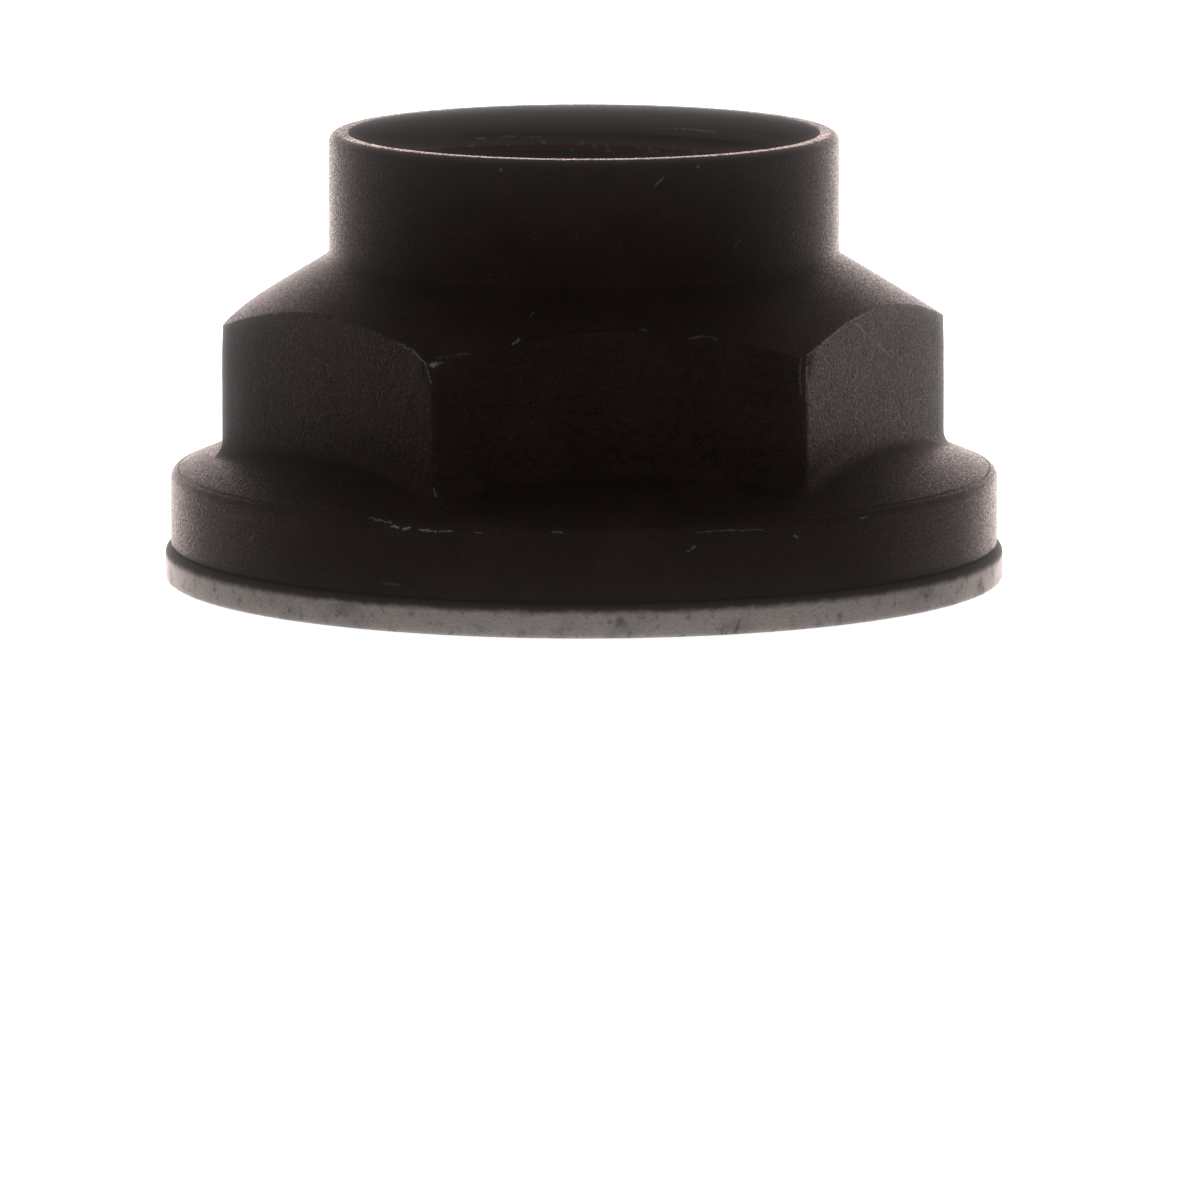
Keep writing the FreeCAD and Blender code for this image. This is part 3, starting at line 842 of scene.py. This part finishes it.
def tapped_steel(finishes):
    """Steel bore cut with a tap and thinly coated: darker and smoother than the outside, with fine lines."""
    material, tree, shader, place = new_material(
        "tapped_steel_bore", roughness=0.45, specular_ior_level=0.4, specular_tint=finishes.bore_sheen
    )
    add = tree.add
    crest = add("ShaderNodeAttribute", {"attribute_name": "wear"}).outputs["Fac"]
    lathe = turning_lines(tree, place, 0.1)
    lumps = add(NOISE, (), place, 1 / (0.9 * MM), 4.0, 0.65)
    ragged = add(MATHS, "MULTIPLY_ADD", lumps, 1.5, crest)
    worn = add(RANGE, SMOOTH, ragged, 1.15, 1.4, 0.0, 0.8)
    bare = add(MATHS, "MAXIMUM", worn, mark_mask(tree, place, BORE_MARKS))
    # Painted shade: the bore is darker towards the roots of the thread.
    painted_root_shade = add(RANGE, SMOOTH, from_axis(tree, place), 12.35 * MM, 12.9 * MM, 0.0, 0.85)
    coat = add(MIX, COLOURS, painted_root_shade, finishes.bore_steel, finishes.phosphate)
    colours = add(MIX, COLOURS, bare, coat, finishes.bare_steel)
    metal = add(MATHS, "MULTIPLY", bare, 0.8)
    bump = add("ShaderNodeBump", (), strength=0.4, distance=0.02 * MM, height=lathe)
    tree.fill(shader, base_color=colours, metallic=metal, normal=bump)
    return material


def washer_steel(finishes):
    """Stamped steel washer, phosphated grey: dull, mottled with oil stains and rubbed bright at its rim."""
    material, tree, shader, place = new_material("dull_grey_washer_steel", specular_ior_level=0.5)
    add = tree.add
    blotch = add(NOISE, (), place, 1 / (2.2 * MM), 4.0, 0.6)
    fine = add(NOISE, (), place, 1 / (0.18 * MM), 3.0, 0.6)
    spots = add(NOISE, (), place, 1 / (0.6 * MM), 3.0, 0.6)
    broad = add(RANGE, SMOOTH, blotch, 0.48, 0.72, 0.0, 0.4)
    spotted = add(RANGE, SMOOTH, spots, 0.54, 0.7, 0.0, 0.42)
    grainy = add(RANGE, SMOOTH, fine, 0.5, 0.78, 0.0, 0.35)
    mottled = add(MATHS, {"operation": "ADD", "use_clamp": True}, broad, spotted)
    mottled = add(MATHS, {"operation": "ADD", "use_clamp": True}, mottled, grainy)
    # Painted shade with some oil: the washer is darker towards its top edge, in the seam under the flange.
    height = add("ShaderNodeSeparateXYZ", (), place).outputs["Z"]
    uneven = add(MATHS, "MULTIPLY_ADD", spots, 0.4 * MM, height)
    painted_seam_shade = add(RANGE, SMOOTH, uneven, WASHER_HIGH.z - 0.52 * MM, WASHER_HIGH.z - 0.05 * MM)
    stain_and_seam_shade = add(MATHS, "MAXIMUM", mottled, painted_seam_shade)
    colours = add(MIX, COLOURS, stain_and_seam_shade, finishes.washer_steel, finishes.washer_stain)
    roughness = add(MATHS, "MULTIPLY_ADD", stain_and_seam_shade, 0.25, 0.42)
    metal = add(MATHS, "MULTIPLY_ADD", stain_and_seam_shade, -0.65, 0.65)
    relief = add(MATHS, "MULTIPLY_ADD", spots, 0.8, fine)
    bump = add("ShaderNodeBump", (), strength=0.8, distance=0.05 * MM, height=relief)
    tree.fill(shader, base_color=colours, metallic=metal, roughness=roughness, normal=bump)
    return material


def to_backdrop(studio):
    """Level direction from the camera's side to the backdrop."""
    return -math.sin(studio.view_azimuth), math.cos(studio.view_azimuth), 0.0


def lit_table(studio):
    """A back-lit white acrylic table that glows evenly in front and brighter towards the backdrop."""
    material, tree, shader, place = new_material(
        "lit_white_acrylic", base_color=(0, 0, 0), specular_ior_level=0.0, emission_color=(1, 1, 1)
    )
    behind = tree.add(VECTOR, "DOT_PRODUCT", place, to_backdrop(studio))
    glow = tree.add(RANGE, SMOOTH, behind, -30 * MM, 60 * MM, studio.table_front, studio.table_back)
    tree.fill(shader, emission_strength=glow)
    return material


# Operators

SHARP = 38  # degrees between faces from which an edge is drawn sharp
FEWEST_FACES = 500  # a piece with fewer hasn't been built
# How far the lens spreads its light, as a share of the frame's width, and how much of it
VEIL = ((0.010, 0.13), (0.045, 0.05), (0.175, 0.015))


def placed(mesh, name, body, node):
    """A finished piece at the origin, riding on its body in place of its CAD node."""
    if len(mesh.polygons) < FEWEST_FACES:
        raise RuntimeError(f"{name} has no mesh")
    piece = bpy.data.objects.new(name, mesh)
    bpy.context.scene.collection.objects.link(piece)
    mesh.shade_smooth()
    mesh.set_sharp_from_angle(angle=math.radians(SHARP))
    bend = piece.modifiers.new("Even shading", "WEIGHTED_NORMAL")
    bend.keep_sharp = True
    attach(piece, body)
    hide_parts(node)


class SPINDLENUT_OT_nut(bpy.types.Operator):
    """Make the forged nut with its collar, hexagon, flange, rolled lip and cut thread"""

    bl_idname = "spindle_nut.make_nut"
    bl_label = "Make the nut"

    def execute(self, context):
        sizes, finishes = context.scene.nut_sizes, context.scene.nut_finishes
        group, settings = thread_tree(sizes, phosphated_steel(finishes), tapped_steel(finishes))
        mesh = applied(nut_mesh(sizes), group, settings, "spindle_nut_body")
        placed(mesh, "spindle_nut_body", "nut", "nut_body")
        return {"FINISHED"}


class SPINDLENUT_OT_washer(bpy.types.Operator):
    """Make the captive washer that turns under the flange"""

    bl_idname = "spindle_nut.make_washer"
    bl_label = "Make the washer"

    def execute(self, context):
        sizes, finishes = context.scene.washer_sizes, context.scene.nut_finishes
        group, settings = washer_tree(sizes, washer_steel(finishes))
        mesh = applied(bpy.data.meshes.new("washer_seed"), group, settings, "captive_washer")
        placed(mesh, "captive_washer", "washer", "washer")
        return {"FINISHED"}


class SPINDLENUT_OT_stage(bpy.types.Operator):
    """Make the white table, the soft studio light and the camera at the photograph's angle"""

    bl_idname = "spindle_nut.make_stage"
    bl_label = "Make the stage"

    def execute(self, context):
        scene, studio = context.scene, context.scene.nut_studio
        table_mesh = bpy.data.meshes.new("lit_table")
        shape = bmesh.new()
        bmesh.ops.create_circle(shape, cap_ends=True, segments=96, radius=studio.table_radius)
        shape.to_mesh(table_mesh)
        shape.free()
        table = bpy.data.objects.new("lit_table", table_mesh)
        table.location.z = -studio.table_gap
        table_mesh.materials.append(lit_table(studio))
        scene.collection.objects.link(table)
        # The table is only the white ground: the nut is lit by the room, also from below.
        for ray in ("diffuse", "glossy", "transmission", "shadow"):
            setattr(table, "visible_" + ray, False)
        self.light_room(scene, studio)
        self.veil(scene)
        self.place_camera(scene, studio)
        scene.view_settings.view_transform = "Standard"
        scene.view_settings.look = "None"
        return {"FINISHED"}

    def light_room(self, scene, studio):
        """A bright-field set: a glowing backdrop behind the nut, a dim room in front, a lit floor below."""
        world = bpy.data.worlds.new("bright_field_room")
        world.use_nodes = True
        scene.world = world
        tree = Tree(world.node_tree)
        add = tree.add
        # Nearness to the backdrop and height both run from -1 to 1.
        towards = add("ShaderNodeTexCoord").outputs["Generated"]
        behind = add(VECTOR, "DOT_PRODUCT", towards, to_backdrop(studio))
        height = add("ShaderNodeSeparateXYZ", (), towards).outputs["Z"]
        below = add(RANGE, SMOOTH, height, -0.45, 0.1, studio.floor_light, studio.wall_light)
        above = add(RANGE, SMOOTH, height, 0.1, 0.6, 0.0, studio.ceiling_light - studio.wall_light)
        zenith = add(RANGE, SMOOTH, height, 0.93, 1.0, 0.0, -0.8 * studio.ceiling_light)
        room = add(MATHS, "ADD", add(MATHS, "ADD", below, above), zenith)
        glow = add(RANGE, SMOOTH, behind, 0.44, 1.0, 0.0, studio.backdrop_light)
        straight = add(RANGE, SMOOTH, behind, 0.86, 0.99, 0.0, studio.window_light)
        low_glow = add(RANGE, SMOOTH, height, 0.32, -0.15, 0.06, 1.0)
        light = add(MATHS, "MULTIPLY_ADD", add(MATHS, "ADD", glow, straight), low_glow, room)
        tree.fill(tree.nodes["Background"], color=studio.light_colour, strength=light)

    def veil(self, scene):
        """The soft veil that an overexposed ground spreads over the nut's edges, as a lens does."""
        scene.use_nodes = True
        tree = Tree(scene.node_tree)
        tree.nodes.clear()
        picture = tree.add("CompositorNodeRLayers").outputs["Image"]
        for reach, share in VEIL:
            size = tree.add(
                "CompositorNodeRelativeToPixel", {"reference_dimension": "X"}, value=reach, image=picture
            )
            soft = tree.add("CompositorNodeBlur", {"filter_type": "FAST_GAUSS"}, image=picture, size=size)
            picture = tree.add("CompositorNodeMixRGB", (), share, picture, soft)
        tree.add("CompositorNodeComposite", (), picture)

    def place_camera(self, scene, studio):
        """The camera of the photograph: far off, a little above, with the nut high in the frame."""
        around, above = studio.view_azimuth, studio.view_elevation
        middle = Vector((0, 0, studio.view_middle))
        level = math.cos(above)
        back = Vector((math.sin(around) * level, -math.cos(around) * level, math.sin(above)))
        lens = bpy.data.cameras.new("photograph_camera")
        lens.sensor_width = 36.0
        lens.lens = studio.focal_length
        lens.clip_start, lens.clip_end = 0.01, 50.0
        camera = bpy.data.objects.new("photograph_camera", lens)
        camera.location = middle + back * studio.view_distance
        tilt = math.pi / 2 - above - studio.extra_tilt
        camera.rotation_euler = Euler((tilt, 0.0, around - studio.extra_turn), "XYZ")
        scene.collection.objects.link(camera)
        scene.camera = camera


class SPINDLENUT_PT_panel(bpy.types.Panel):
    """Sizes, colours and the steps that build the spindle nut"""

    bl_idname = "SPINDLENUT_PT_panel"
    bl_label = "Spindle Nut"
    bl_space_type = "VIEW_3D"
    bl_region_type = "UI"
    bl_category = "Spindle Nut"

    def draw(self, context):
        for title, group, operator in (
            ("Nut", context.scene.nut_sizes, SPINDLENUT_OT_nut),
            ("Washer", context.scene.washer_sizes, SPINDLENUT_OT_washer),
            ("Finishes", context.scene.nut_finishes, None),
            ("Studio", context.scene.nut_studio, SPINDLENUT_OT_stage),
        ):
            box = self.layout.box()
            box.label(text=title)
            for name in group.__annotations__:
                box.prop(group, name)
            if operator:
                box.operator(operator.bl_idname)


CLASSES = (
    NutSizes,
    WasherSizes,
    Finishes,
    StudioSettings,
    SPINDLENUT_OT_nut,
    SPINDLENUT_OT_washer,
    SPINDLENUT_OT_stage,
    SPINDLENUT_PT_panel,
)
SETTINGS = {
    "nut_sizes": NutSizes,
    "washer_sizes": WasherSizes,
    "nut_finishes": Finishes,
    "nut_studio": StudioSettings,
}


def register():
    for item in CLASSES:
        bpy.utils.register_class(item)
    for name, group in SETTINGS.items():
        setattr(bpy.types.Scene, name, PointerProperty(type=group))


def unregister():
    for name in SETTINGS:
        delattr(bpy.types.Scene, name)
    for item in reversed(CLASSES):
        bpy.utils.unregister_class(item)


def main():
    """Build everything in order."""
    register()
    bpy.ops.spindle_nut.make_nut()
    bpy.ops.spindle_nut.make_washer()
    bpy.ops.spindle_nut.make_stage()


if __name__ == "__main__":
    main()
